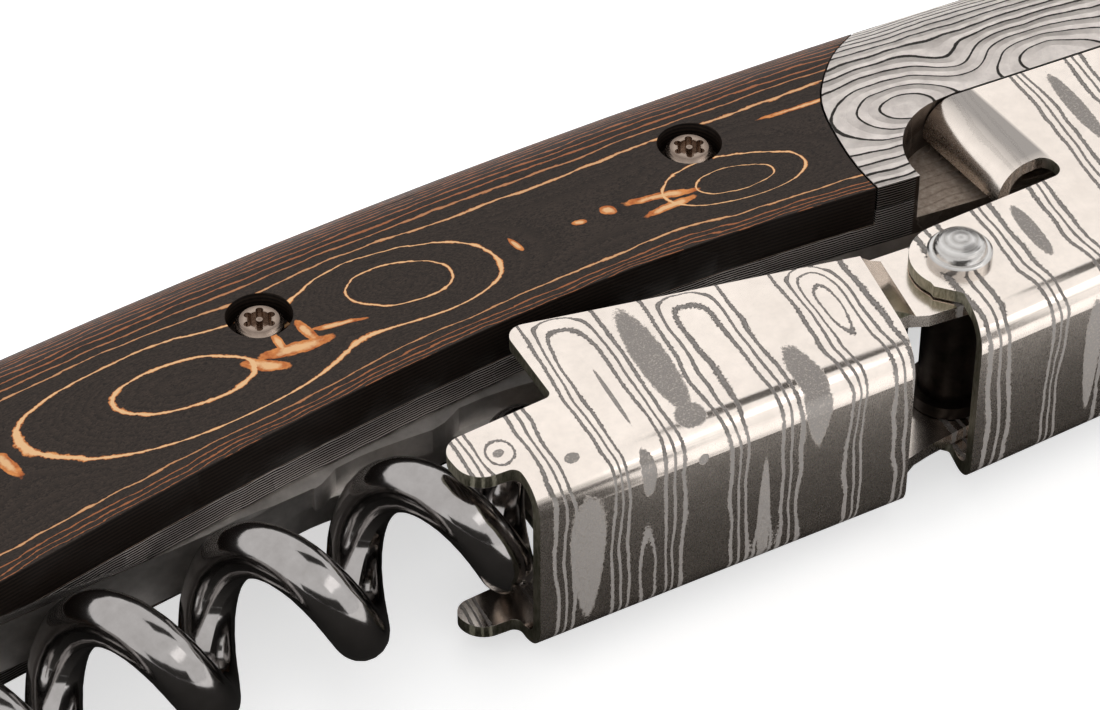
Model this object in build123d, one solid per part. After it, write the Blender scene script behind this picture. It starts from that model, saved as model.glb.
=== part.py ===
from build123d import *
from math import atan2, cos, degrees, hypot, pi, radians, sin, sqrt
import os

# Waiters corkscrew, folded and lying on its side.  Millimetres.
# X runs along the handle towards the lever hinge, Y towards the knife side of
# the handle, Z up out of the near side.  The worm lies on the -Y side.  Shapes
# are drawn about the handle's middle plane and lifted at the end, so the far
# scale's flat face is at Z = 0.

# ---- handle -------------------------------------------------------------
half_thick = 5.6            # middle plane to the flat face of a scale
channel_half = 1.6          # half the channel between the two frame plates
liner_thick = 1.5           # frame plate under a scale
worm_edge_near = [(-50.0, -10.9), (-39.0, -9.9), (-27.6, -8.45), (-16.0, -6.95), (-4.0, -5.98),
                  (7.9, -5.80), (17.2, -6.55), (24.0, -7.50), (34.0, -9.10), (42.0, -11.10)]
worm_edge_far = [(-50.0, -10.0), (-39.0, -8.2), (-27.6, -6.70), (-16.0, -5.85), (-4.0, -5.20),
                 (7.9, -5.30), (17.2, -6.30), (24.0, -7.50), (34.0, -9.10), (42.0, -11.10)]
knife_edge_x = -5.5         # centre of the long arc of the knife side
knife_edge_y = 7.0          # crest of that arc
knife_edge_radius = 363.8
knife_edge_left = -50.0
knife_edge_right = 43.0
butt_x = -56.0              # left end of the handle
butt_y = -3.4
nose_reach = 6.9            # handle end beyond the lever hinge
nose_drop = 4.3             # handle edge below the lever hinge
frame_pin_diameter = 2.2
frame_pin_places = [(-31.0, -4.2), (4.0, -3.2), (20.5, -3.8)]
crown_start = 5.2           # from the knife edge in to where a face starts to fall
crown_fall = 1.35           # how far a face falls by its knife edge

# ---- bolster joint and its pockets ---------------------------------------
joint_curve = [(34.4, 7.0), (32.4, 5.65), (30.86, 4.57), (29.72, 3.84), (28.81, 3.16), (27.81, 2.26),
               (26.74, 1.18), (25.80, -0.03), (24.91, -2.30), (24.47, -3.99), (24.19, -5.56),
               (24.08, -7.2), (24.08, -12.0)]
joint_gap = 0.12            # dark line between scale and bolster
pocket_radius = 4.47        # rounded end of the pocket ahead of the lip
pocket_depth = 2.9
pocket_x = 30.97
pocket_y = -7.8
pocket_right = 32.5
recess_edge_y = -3.33       # upper edge of pocket and recess at the lip's corner
recess_swept = 45.0         # degrees above the hinge that the arm sweeps round to

# ---- scale screws ---------------------------------------------------------
screw_places = [(-34.0, 0.2), (-8.0, 1.3), (17.85, 0.85)]
screw_head_diameter = 2.5
screw_head_height = 1.15
screw_sink = 0.3            # head below the face of the scale
screw_shank_diameter = 1.6
counterbore_diameter = 3.45
star_radius = 0.62
star_lobe = 0.2
star_depth = 0.6
star_pin = 0.17

# ---- worm ------------------------------------------------------------------
worm_y = -11.82             # line of the folded worm
worm_pitch = 8.4
worm_radius = 3.02          # wire centreline
wire_diameter = 2.8
worm_tip_x = -38.5
worm_turns_end_x = 0.6
worm_phase_x = -8.2         # a place where a turn passes closest to the handle
worm_hinge_x = 13.5
worm_hinge_pin_diameter = 2.4
yoke_radius = 3.5
yoke_front_x = 3.2
yoke_slot_floor = 4.3       # from the hinge
lug_radius = 2.6
worm_bay_clear = 0.35
worm_bay_right = -10.0
worm_bay_left = -38.0

# ---- back spring ------------------------------------------------------------
spring_side_clear = 0.05
spring_left = -40.5
spring_knife_side = -1.4
scallop_pitch = 7.45
scallop_first_x = -23.3
scallop_count = 4
scallop_low = 0.34
scallop_high = 0.95
nose_spacer_width = 17.0

# ---- lever -------------------------------------------------------------------
sheet = 0.75                # lever sheet
lever_half = half_thick     # half the outside width of both lever arms, flush with the bolsters
bend_radius = 1.75          # outside radius of the long bends
face_clear = 0.08           # running gap between lever sheet and what it slides on
lever_hinge = (49.5, -9.6)
lever_pin_diameter = 4.0
lever_eye_radius = 4.3
mid_rivet = (24.4, -14.1)
mid_rivet_diameter = 2.4
lobe_radius = 2.6
pin_clear = 0.05
rivet_head_diameter = 3.4
rivet_head_step = 0.5
rivet_head_height = 1.25
bush_collar = 0.75
lever_head_diameter = 5.6
outer_web_left = (-3.12, -17.35)
outer_web_right = (18.2, -18.88)
inner_web_left = (22.05, -19.3)
inner_web_right = (43.6, -19.85)
outer_arm_tab = [(1.72, -6.15, 0.9), (1.2, -11.66, 0.4), (-5.45, -11.66, 1.2), (-5.45, -14.75, 1.45),
                 (-2.95, -15.02, 0.5)]     # x, y and corner radius, from the top down the front
outer_arm_neck_end = [(18.9, -16.6, 0), (20.1, -11.4, 0)]
far_tab_cut = [(-7.0, -13.6, 0), (-5.45, -13.6, 0), (-5.45, -12.6, 0.9), (1.6, -12.6, 0.3), (1.6, -11.0, 0),
               (-7.0, -11.0, 0)]
inner_arm_step = [(33.1, -11.75, 0.72), (24.6, -11.5, 0), (22.2, -12.9, 0), (21.9, -15.3, 0), (22.85, -16.5, 0.3)]
neck_notches = {1: [(21.0, -16.25), (20.1, -15.78), (18.0, -15.6)], -1: [(21.2, -16.85), (18.0, -17.3)]}
neck_ramp = (19.35, -14.5)
neck_ramp_lean = -12.5      # degrees
lip_radius = 1.75           # outside radius of the folded lip
lip_drop = 0.4
lip_x = 31.85
lip_low_y = -10.07
lip_high_y = -3.45

# ---- foil blade -----------------------------------------------------------------
blade_hinge = (-45.5, -2.6)
blade_thick = 2.0
blade_pin_diameter = 2.6
tang_radius = 3.6
blade_washer_diameter = 6.2
blade_washer_clear = 0.02
serration_pitch = 2.6
serration_radius = 1.6
serration_first_x = -30.0
serration_last_x = 0.0
blade_back = [(-36.0, 6.1), (-20.0, 7.9), (-4.0, 7.6), (5.0, 3.2)]
blade_edge = [(3.2, 0.6), (-36.0, -0.5)]
nail_nick_x = -12.0

liner_face = channel_half + liner_thick
flange_inner = lever_half - sheet
land_face = flange_inner - face_clear
neck_face = flange_inner - 0.1
neck_inner = neck_face - sheet
tall = 60.0

os.makedirs("parts", exist_ok=True)


def ship(name, *solids):
    """Lift the solids to their place above Z = 0 and write one file."""
    lifted = [Pos(0, 0, half_thick) * s for s in solids]
    export_step(lifted[0] if len(lifted) == 1 else Compound(children=lifted), f"parts/{name}.step")


def polygon(points):
    return make_face(Polyline(*[(x, y) for x, y in points], close=True))


def prism(face, low, high):
    """A flat shape drawn on the middle plane, from one height to another."""
    return extrude(Pos(0, 0, low) * face, amount=high - low, dir=(0, 0, 1))


def rod(x, y, radius, low, high):
    return Pos(x, y, (low + high) / 2) * Cylinder(radius, high - low)


def knife_edge(x):
    """Height of the knife side of the handle at x."""
    return knife_edge_y - knife_edge_radius + sqrt(knife_edge_radius ** 2 - (x - knife_edge_x) ** 2)


def worm_edge(points, x):
    """Height of the worm side of the handle at x, between its set points."""
    for (x0, y0), (x1, y1) in zip(points, points[1:]):
        if x0 <= x <= x1:
            return y0 + (y1 - y0) * (x - x0) / (x1 - x0)
    return points[0][1] if x < points[0][0] else points[-1][1]


def handle_face(points):
    """Outline of the handle for one side's worm edge."""
    hinge_x, hinge_y = lever_hinge
    bottom = (hinge_x, hinge_y - nose_drop)
    nose = (hinge_x + nose_reach, hinge_y + 3.0)
    left = (knife_edge_left, knife_edge(knife_edge_left))
    right = (knife_edge_right, knife_edge(knife_edge_right))
    worm_side = Spline(*points, bottom, tangents=[(1.0, 0.05), (1.0, 0.0)])
    under = Spline(bottom, nose, tangents=[(1.0, 0.0), (0.0, 1.0)])
    over = Spline(nose, right, tangents=[(0.0, 1.0), (-1.0, 0.13)])
    crest = ThreePointArc(right, (knife_edge_x, knife_edge_y), left)
    butt_top = Spline(left, (butt_x, butt_y), tangents=[(-1.0, -0.12), (0.0, -1.0)])
    butt_low = Spline((butt_x, butt_y), points[0], tangents=[(0.0, -1.0), (1.0, 0.05)])
    return make_face([worm_side, under, over, crest, butt_top, butt_low])


def crown(side):
    """Solid that a side of the handle is trimmed to, so its face falls to the knife edge."""
    r = knife_edge_radius
    low = channel_half - 0.5
    flat_end = r - crown_start
    fall_radius = (crown_start ** 2 / crown_fall + crown_fall) / 2
    past = crown_start + 0.9
    end = (flat_end + past, half_thick - fall_radius + sqrt(fall_radius ** 2 - past ** 2))
    mid = (flat_end + past / 2, half_thick - fall_radius + sqrt(fall_radius ** 2 - past ** 2 / 4))
    section = make_face([Polyline(end, (end[0], low), (r - 40, low), (r - 40, half_thick), (flat_end, half_thick)),
                         ThreePointArc((flat_end, half_thick), mid, end)])
    face = Plane((knife_edge_x, knife_edge_y - r, 0), x_dir=(1, 0, 0), z_dir=(0, -1, 0)) * section
    axis = Axis((knife_edge_x, knife_edge_y - r, 0), (0, 0, 1))
    body = revolve(face.rotate(axis, 78), axis, 24)
    return body if side > 0 else mirror(body, Plane.XY)


def joint_region(shift):
    """Everything to the right of the curved joint between scale and bolster."""
    curve = [(x + shift, y) for x, y in joint_curve]
    line = Spline(*curve)
    rest = Polyline(curve[-1], (90.0, -40.0), (90.0, 40.0), (curve[0][0], 40.0), curve[0])
    return make_face([line, rest])


def worm_bay():
    """Room in the handle for the last turns of the folded worm."""
    radius = worm_radius + wire_diameter / 2 + worm_bay_clear
    length = worm_bay_right - worm_bay_left
    middle = (worm_bay_right + worm_bay_left) / 2
    bay = Pos(middle, worm_y, 0) * Rot(0, 90, 0) * Cylinder(radius, length)
    return bay + Pos(worm_bay_left, worm_y, 0) * Sphere(radius)


def lever_recess(side):
    """Where the inner arm's flange lies flush in the bolster and swings clear."""
    hinge_x, hinge_y = lever_hinge
    seam = lever_eye_radius + joint_gap
    left = pocket_right - 0.6
    swept = radians(recess_swept)
    outline = [(left, recess_edge_y), (hinge_x - 0.5, hinge_y + seam), (hinge_x, hinge_y),
               (hinge_x + tall * cos(swept), hinge_y + tall * sin(swept)), (hinge_x + tall, -tall), (left, -tall)]
    area = polygon(outline) + Pos(hinge_x, hinge_y) * Circle(seam)
    return prism(area, land_face, half_thick + 1) if side > 0 else prism(area, -half_thick - 1, -land_face)


def lip_pocket(side):
    """Deep pocket ahead of the folded lip."""
    area = Pos(pocket_x, pocket_y) * Circle(pocket_radius)
    area = area + polygon([(pocket_x - pocket_radius, pocket_y), (pocket_x - pocket_radius, -40.0),
                           (pocket_right, -40.0), (pocket_right, recess_edge_y),
                           (pocket_x, pocket_y + pocket_radius)])
    floor = half_thick - pocket_depth
    return prism(area, floor, half_thick + 1) if side > 0 else prism(area, -half_thick - 1, -floor)


def both(side, low, high):
    """Height range on the near side, or mirrored to the far side."""
    return (low, high) if side > 0 else (-high, -low)


def frame_plate(side):
    points = worm_edge_near if side > 0 else worm_edge_far
    outline = handle_face(points)
    plate = prism(outline, *both(side, channel_half, liner_face))
    bolster = prism(outline & joint_region(0.0), *both(side, liner_face, half_thick)) & crown(side)
    body = plate + bolster - lever_recess(side) - lip_pocket(side) - worm_bay()
    for x, y in screw_places:
        body -= rod(x, y, screw_shank_diameter / 2, -tall / 2, tall / 2)
    for x, y in frame_pin_places:
        body -= rod(x, y, frame_pin_diameter / 2, -tall / 2, tall / 2)
    body -= rod(*lever_hinge, lever_pin_diameter / 2, -tall / 2, tall / 2)
    body -= rod(*blade_hinge, blade_pin_diameter / 2, -tall / 2, tall / 2)
    return body


def scale(side):
    points = worm_edge_near if side > 0 else worm_edge_far
    outline = handle_face(points) - joint_region(-joint_gap)
    body = prism(outline, *both(side, liner_face, half_thick)) & crown(side)
    if side < 0:
        body -= finger_bevel(points)
    body -= worm_bay()
    for x, y in screw_places:
        body -= rod(x, y, screw_shank_diameter / 2, -tall / 2, tall / 2)
        depth = half_thick - screw_sink - screw_head_height
        body -= rod(x, y, counterbore_diameter / 2, *both(side, depth, half_thick + 1))
    return body


def finger_bevel(points):
    """Slope along the far scale's worm edge, so a fingertip can lift the worm."""
    def cut_at(shift, height):
        line = [(x, y + shift * max(0.1, min(1.0, (x + 50.0) / 8.0, (24.5 - x) / 8.0))) for x, y in points]
        below = Polyline(line[-1], (line[-1][0], -tall), (line[0][0], -tall), line[0])
        return Pos(0, 0, height) * make_face([Spline(*line), below])
    rise = half_thick - liner_face
    return loft([cut_at(-0.1, -liner_face), cut_at(rise + 0.05, -half_thick - 0.1)], ruled=True)


def scale_screw(side, x, y):
    top = half_thick - screw_sink
    seat = top - screw_head_height
    head = rod(x, y, screw_head_diameter / 2, seat, top)
    head = chamfer(head.edges().group_by(Axis.Z)[-1], 0.22)
    star = Circle(star_radius)
    for i in range(6):
        angle = radians(60 * i)
        star = star + Pos((star_radius + 0.06) * cos(angle), (star_radius + 0.06) * sin(angle)) * Circle(star_lobe)
    star = star - Circle(star_pin)
    head -= prism(Pos(x, y) * star, top - star_depth, top + 1)
    screw = head + rod(x, y, screw_shank_diameter / 2, channel_half + 0.1, seat)
    return screw if side > 0 else mirror(screw, Plane.XY)


def back_spring():
    """Spring and spacer between the plates, with filed scallops along the worm side."""
    half = channel_half - spring_side_clear
    hinge_x, hinge_y = lever_hinge
    start = scallop_first_x
    shape = [(0.0, 0.0), (0.2, 0.05), (0.38, 0.3), (0.6, 0.78), (0.74, 1.0), (0.85, 0.8), (0.94, 0.35)]

    def scalloped(shift):
        line = []
        for n in range(-1, scallop_count + 1):
            for t, lift in shape:
                x = start + (n + t) * scallop_pitch + shift
                if start <= x <= start + scallop_count * scallop_pitch:
                    proud = scallop_low + (scallop_high - scallop_low) * lift
                    line.append((x, worm_edge(worm_edge_near, x) - proud))
        return line

    def outline(wave):
        end_x = start + scallop_count * scallop_pitch
        head = [(spring_left, worm_edge(worm_edge_near, spring_left) + 0.2),
                (-32.0, worm_edge(worm_edge_near, -32.0) - 0.1)]
        tail = [(end_x + 0.6, worm_edge(worm_edge_near, end_x + 0.6) - 0.1),
                (worm_hinge_x - lug_radius - 1.2, worm_edge(worm_edge_near, worm_hinge_x - 4) - 0.1)]
        lug = [(worm_hinge_x - lug_radius, worm_edge(worm_edge_near, worm_hinge_x) - 1.6),
               (worm_hinge_x - lug_radius, worm_y), (worm_hinge_x + lug_radius, worm_y),
               (worm_hinge_x + lug_radius, worm_edge(worm_edge_near, worm_hinge_x) - 1.6),
               (worm_hinge_x + lug_radius + 1.2, worm_edge(worm_edge_near, worm_hinge_x + 4) - 0.1)]
        right = [(24.0, -7.4), (34.0, -9.0), (42.0, -11.0), (hinge_x, hinge_y - nose_drop + 0.1)]
        upper = [(hinge_x + 4.6, hinge_y - 1.5), (hinge_x + 4.6, hinge_y + 6.0), (knife_edge_right, 2.6),
                 (hinge_x - nose_spacer_width, 4.6), (hinge_x - nose_spacer_width - 3.0, spring_knife_side),
                 (spring_left + 1.5, spring_knife_side - 1.8), (spring_left, spring_knife_side - 3.2)]
        return polygon(head + wave + tail + lug + right + upper) + Pos(worm_hinge_x, worm_y) * Circle(lug_radius)

    body = prism(outline(scalloped(0.0)), 0.0, half)
    body += prism(outline(scalloped(scallop_pitch / 2)), -half, 0.0)
    body -= worm_bay()
    for x, y in frame_pin_places:
        body -= rod(x, y, frame_pin_diameter / 2, -tall / 2, tall / 2)
    body -= rod(worm_hinge_x, worm_y, worm_hinge_pin_diameter / 2, -tall / 2, tall / 2)
    body -= rod(*lever_hinge, lever_pin_diameter / 2, -tall / 2, tall / 2)
    return body


def u_channel(outline, web_left, web_right):
    """Side outline bent from sheet, with its web along the line between two points."""
    block = prism(outline, -lever_half, lever_half)
    long_edges = [e for e in block.edges().filter_by(GeomType.LINE)
                  if abs(e.length - hypot(web_right[0] - web_left[0], web_right[1] - web_left[1])) < 1e-3
                  and e.center().Y < web_left[1] + 0.01]
    block = fillet(long_edges, bend_radius)
    along = (web_right[0] - web_left[0], web_right[1] - web_left[1])
    turn = degrees(atan2(along[1], along[0]))
    reach = hypot(*along)
    inside = Box(reach + 80, 40, 2 * flange_inner)
    inside = fillet(inside.edges().filter_by(Axis.X).group_by(Axis.Y)[0], bend_radius - sheet)
    return block - Pos(*web_left, 0) * Rot(0, 0, turn) * Pos(reach / 2, 20 + sheet, 0) * inside


def corner_polygon(points):
    """Closed face from (x, y, corner radius) points, square where the radius is 0."""
    face = polygon([(x, y) for x, y, r in points])
    for x, y, r in points:
        if r > 0:
            near = min(face.vertices(), key=lambda v: hypot(v.X - x, v.Y - y))
            face = fillet(near, r)
    return face


def far_tab_relief():
    """The far tab is filed lower than the near one."""
    return prism(corner_polygon(far_tab_cut), -lever_half - 1, -flange_inner + 0.3)


def outer_arm():
    outline = corner_polygon([*outer_arm_tab, (*outer_web_left, 0), (*outer_web_right, 0), *outer_arm_neck_end])
    arm = u_channel(outline, outer_web_left, outer_web_right)
    arm -= far_tab_relief()
    cx, cy = mid_rivet
    ramp_section = polygon([(0.0, lever_half), (1.3, neck_face), (1.9, neck_face), (1.9, neck_inner),
                            (0.9, neck_inner), (-0.4, flange_inner), (-1.6, flange_inner), (-1.6, lever_half)])
    ramp = extrude(Plane((*neck_ramp, 0), x_dir=(1, 0, 0), z_dir=(0, -1, 0)) * ramp_section, amount=12, both=True)
    ramp = ramp.rotate(Axis((*neck_ramp, 0), (0, 0, 1)), neck_ramp_lean)
    for side in (1, -1):
        low_edge = neck_notches[side]
        neck = polygon([(18.0, -10.85), (cx - 0.5, cy + lobe_radius), (cx - 0.5, cy - lobe_radius), *low_edge])
        neck = neck + Pos(cx, cy) * Circle(lobe_radius)
        shape = polygon([(16.0, -10.29), (20.6, -11.62), (22.4, -11.4), (22.4, low_edge[0][1] - 0.1), *low_edge,
                         (16.0, low_edge[-1][1])])
        plate = prism(neck, neck_inner, neck_face)
        step = ramp & prism(shape, neck_inner, lever_half)
        piece = plate - prism(polygon([(17.0, -8.0), (20.3, -8.0), (19.0, -18.0), (17.0, -18.0)]), neck_inner - 1,
                              neck_face + 1) + step
        arm += piece if side > 0 else mirror(piece, Plane.XY)
    return arm - rod(cx, cy, mid_rivet_diameter / 2 + pin_clear, -tall / 2, tall / 2)


def lip(side):
    """Folded lip at the end of the inner arm's upper tongue."""
    turn_centre = lever_half - lip_radius
    section = Pos(lip_x, turn_centre) * (Circle(lip_radius) - Circle(lip_radius - sheet))
    keep = Pos(lip_x - lip_radius, turn_centre + lip_radius) * Rectangle(2 * lip_radius, 2 * lip_radius)
    section = section & keep
    section = section + Pos(lip_x - lip_radius + sheet / 2, turn_centre - lip_drop / 2) * Rectangle(sheet, lip_drop)
    face = Plane((0, lip_low_y, 0), x_dir=(1, 0, 0), z_dir=(0, -1, 0)) * section
    body = extrude(face, amount=lip_high_y - lip_low_y, dir=(0, 1, 0))
    return body if side > 0 else mirror(body, Plane.XY)


def inner_arm():
    hinge_x, hinge_y = lever_hinge
    cx, cy = mid_rivet
    outline = corner_polygon([
        (lip_x, lip_high_y, 0), (lip_x, lip_low_y, 0), (inner_arm_step[0][0], lip_low_y, 0.72), *inner_arm_step,
        (*inner_web_left, 0), (*inner_web_right, 0), (hinge_x - 3.2, hinge_y - 3.8, 1.5), (hinge_x, hinge_y, 0),
        (hinge_x - 0.5, hinge_y + lever_eye_radius - 0.03, 0)])
    arm = u_channel(outline, inner_web_left, inner_web_right)
    flanges = Pos(cx, cy) * Circle(lobe_radius)
    eye = Pos(hinge_x, hinge_y) * Circle(lever_eye_radius)
    for side in (1, -1):
        arm += prism(flanges, *both(side, flange_inner, lever_half))
        arm += prism(eye, *both(side, flange_inner, lever_half))
        arm += lip(side)
    arm -= rod(cx, cy, mid_rivet_diameter / 2 + pin_clear, -tall / 2, tall / 2)
    return arm - rod(hinge_x, hinge_y, lever_pin_diameter / 2 + pin_clear, -tall / 2, tall / 2)


def domed_head(x, y, diameter, side):
    """Turned rivet head with a step, standing on the lever's outer face."""
    r = diameter / 2
    profile = make_face([
        Polyline((0, 0), (r, 0), (r, rivet_head_step * 0.8), (r - 0.12, rivet_head_step),
                 (r - 0.26, rivet_head_step), (r - 0.3, rivet_head_step + 0.12)),
        Spline((r - 0.3, rivet_head_step + 0.12), (r * 0.45, rivet_head_height - 0.12), (0, rivet_head_height),
               tangents=[(-0.2, 1.0), (-1.0, 0.0)]),
        Line((0, rivet_head_height), (0, 0))])
    face = Plane((x, y, lever_half), x_dir=(1, 0, 0), z_dir=(0, -1, 0)) * profile
    head = revolve(face, Axis((x, y, 0), (0, 0, 1)), 360)
    return head if side > 0 else mirror(head, Plane.XY)


def headed_pin(x, y, pin_diameter, head_diameter):
    pin = rod(x, y, pin_diameter / 2, -lever_half, lever_half)
    return pin + domed_head(x, y, head_diameter, 1) + domed_head(x, y, head_diameter, -1)


def mid_bush():
    """Collared bush that keeps the necks apart."""
    cx, cy = mid_rivet
    half = neck_inner - 0.05
    bore = mid_rivet_diameter / 2
    outer = rod(cx, cy, bore + 0.45, -half, half)
    outer += rod(cx, cy, bore + 0.95, half - bush_collar, half)
    outer += rod(cx, cy, bore + 0.95, -half, bush_collar - half)
    return outer - rod(cx, cy, bore, -half, half)


def worm_wire():
    """Right-handed round-wire worm with a ground point, on a straight shank."""
    r = wire_diameter / 2
    rate = 2 * pi / worm_pitch

    def at(x):
        a = rate * (x - worm_phase_x)
        return Vector(x, worm_y + worm_radius * cos(a), worm_radius * sin(a))

    def heading(x):
        a = rate * (x - worm_phase_x)
        return Vector(1, -rate * worm_radius * sin(a), rate * worm_radius * cos(a)).normalized()

    def ring(x, radius):
        return Plane(at(x), z_dir=heading(x)) * Circle(radius)

    point_x = worm_tip_x + worm_pitch / 4
    coil_path = Helix(worm_pitch, worm_turns_end_x - point_x, worm_radius)
    turn = degrees(rate * (point_x - worm_phase_x))
    to_handle = Plane((point_x, worm_y, 0), x_dir=(0, cos(radians(turn)), sin(radians(turn))), z_dir=(1, 0, 0))
    coil_path = to_handle.location * coil_path
    coil = sweep(ring(point_x, r), path=coil_path, is_frenet=True)
    end_x = worm_turns_end_x
    shank_path = Spline(at(end_x), (yoke_front_x + 2.5, worm_y, 0), tangents=[heading(end_x), (1, 0, 0)])
    shank = sweep(ring(end_x, r), path=shank_path)
    steps = [(0.0, 0.16), (0.3, 0.5), (0.65, 0.84), (1.0, 1.0)]
    point = loft([ring(worm_tip_x + t * (point_x - worm_tip_x), k * r) for t, k in steps])
    return coil + shank + point


def yoke():
    """Turned block that carries the worm and forks over the spring's lug."""
    body = Pos((yoke_front_x + worm_hinge_x - 3) / 2, worm_y, 0) * Rot(0, 90, 0) * Cylinder(
        yoke_radius, worm_hinge_x - 3 - yoke_front_x)
    body = chamfer(body.edges().filter_by(GeomType.CIRCLE).group_by(Axis.X)[0], 0.7)
    ears = polygon([(worm_hinge_x - 3.4, worm_y - 3.0), (worm_hinge_x, worm_y - 3.0), (worm_hinge_x, worm_y + 3.0),
                    (worm_hinge_x - 3.4, worm_y + 3.0)]) + Pos(worm_hinge_x, worm_y) * Circle(3.0)
    body += prism(ears, -yoke_radius, yoke_radius)
    slot_half = channel_half + 0.05
    body -= Pos(worm_hinge_x - yoke_slot_floor + 15, worm_y, 0) * Box(30, 20, 2 * slot_half)
    body -= rod(worm_hinge_x, worm_y, worm_hinge_pin_diameter / 2 + pin_clear, -tall / 2, tall / 2)
    return body - worm_wire()


def blade():
    """Short foil blade with a serrated edge, folded between the plates."""
    hx, hy = blade_hinge
    heel = (hx - 0.4, hy + tang_radius + 0.2)
    back = Spline(heel, *blade_back, tangents=[(0.6, 0.8), (0.75, -0.75)])
    rest = Polyline(blade_back[-1], *blade_edge, (hx + tang_radius, hy), (hx, hy), heel)
    shape = make_face([back, rest]) + Pos(hx, hy) * Circle(tang_radius)
    body = prism(shape, -blade_thick / 2, blade_thick / 2)
    (tip_x, tip_y), (heel_x, heel_y) = blade_edge
    x = serration_first_x
    while x < serration_last_x:
        y = heel_y + (x - heel_x) * (tip_y - heel_y) / (tip_x - heel_x)
        body -= rod(x, y - serration_radius * 0.72, serration_radius, -5, 5)
        x += serration_pitch
    body -= Pos(nail_nick_x, knife_edge(nail_nick_x) - 0.6, blade_thick / 2) * Box(9, 0.7, 0.8)
    return body - rod(hx, hy, blade_pin_diameter / 2 + pin_clear, -5, 5)


def blade_washer(side):
    thick = channel_half - blade_thick / 2 - blade_washer_clear
    low, high = both(side, blade_thick / 2 + blade_washer_clear, blade_thick / 2 + blade_washer_clear + thick)
    ring = rod(*blade_hinge, blade_washer_diameter / 2, low, high)
    return ring - rod(*blade_hinge, blade_pin_diameter / 2, low, high)


ship("near_frame_plate", frame_plate(1))
ship("far_frame_plate", frame_plate(-1))
ship("near_scale", scale(1))
ship("far_scale", scale(-1))
ship("near_scale_screws", *[scale_screw(1, x, y) for x, y in screw_places])
ship("far_scale_screws", *[scale_screw(-1, x, y) for x, y in screw_places])
ship("frame_pins", *[rod(x, y, frame_pin_diameter / 2, -liner_face, liner_face) for x, y in frame_pin_places])
ship("back_spring", back_spring())
ship("lever_pivot_pin", headed_pin(*lever_hinge, lever_pin_diameter, lever_head_diameter))
ship("lever_inner_arm", inner_arm())
ship("lever_outer_arm", outer_arm())
ship("lever_mid_rivet", headed_pin(*mid_rivet, mid_rivet_diameter, rivet_head_diameter))
ship("mid_rivet_bush", mid_bush())
ship("worm", worm_wire())
ship("worm_yoke", yoke())
ship("worm_hinge_pin", rod(worm_hinge_x, worm_y, worm_hinge_pin_diameter / 2, -yoke_radius, yoke_radius))
ship("foil_blade", blade())
ship("blade_pivot_pin", rod(*blade_hinge, blade_pin_diameter / 2, -liner_face, liner_face))
ship("near_blade_washer", blade_washer(1))
ship("far_blade_washer", blade_washer(-1))
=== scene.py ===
import bpy
import math
from mathutils import Matrix, Vector

# Looks for a folded waiters corkscrew.  The CAD frame is used as it stands: X along the handle,
# Y towards the knife side, Z out of the near face.  Materials measure in millimetres of that
# frame, and everything else is in metres.

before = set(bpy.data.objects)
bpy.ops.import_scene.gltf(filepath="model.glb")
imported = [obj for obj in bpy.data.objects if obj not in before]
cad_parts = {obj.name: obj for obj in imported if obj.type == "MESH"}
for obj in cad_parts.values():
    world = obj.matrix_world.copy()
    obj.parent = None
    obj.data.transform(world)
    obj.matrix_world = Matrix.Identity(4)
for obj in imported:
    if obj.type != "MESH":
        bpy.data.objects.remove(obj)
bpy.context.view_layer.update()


# ---- places on the tool, in millimetres ------------------------------------------

# Circle that the knife side of the handle follows.
KNIFE_ARC_X = -5.5
KNIFE_ARC_Y = -356.8
KNIFE_ARC_RADIUS = 363.8
MIDDLE_Z = 5.6

# Worm side of the near face: along, across.  A curve holds no values below zero, so it is lifted.
WORM_EDGE = [(-50.0, -10.9), (-39.0, -9.9), (-27.6, -8.45), (-16.0, -6.95), (-4.0, -5.98),
             (7.9, -5.80), (17.2, -6.55), (24.0, -7.50), (34.0, -9.10), (42.0, -11.10)]
WORM_EDGE_LIFT = 12.0

SCREW_AXES = [(-34.0, 0.2), (-8.0, 1.3), (17.85, 0.85)]
PIN_AXES = [(24.4, -14.1), (49.5, -9.6)]

# Pocket in the bolster ahead of the lever's lip.
POCKET_X = 30.97
POCKET_Y = -7.8
POCKET_WALL = 4.7
SUNK_BELOW = 4.1            # from the middle: the pocket's floor lies nearer than this

# The lever's bend and edges, and the rolled lip ahead of the slot in its inner arm, where a darker band
# is painted on as a reflection.
# A pair says where a mask starts and where it is full.
BEND_Y = -16.5
SHEET_EDGE_SLOPE = -0.289
SHEET_EDGE_Y = -5.66
OUTER_ARM_END = 20.0
LIP_LEFT = (29.5, 30.0)
LIP_RIGHT = (33.2, 33.0)
LIP_FROM = (-10.6, -10.2)
LIP_PAINTED_REFLECTION_FROM = (-10.9, -9.6)
LIP_PAINTED_REFLECTION_ALONG = (30.6, 31.9)
SHEET_INSIDE = (4.85, 4.88)


# ---- patterns, in millimetres ------------------------------------------------------

# How many layers lie above a point of a scale, by its distance from the knife edge.
SCALE_FROM_KNIFE = [(-0.5, 13.5), (0.0, 12.0), (0.45, 10.0), (0.9, 8.3), (1.4, 6.9), (2.0, 5.5),
                    (2.7, 4.2), (3.5, 3.1), (4.3, 2.35), (5.2, 1.95), (6.6, 1.80), (14.0, 1.75)]
# The same by its distance from the worm edge.
SCALE_FROM_WORM = [(-0.5, 7.0), (0.0, 5.0), (0.5, 3.0), (1.0, 1.7), (1.6, 1.05), (2.4, 0.8),
                   (4.0, 0.7), (9.0, 0.68)]
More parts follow.
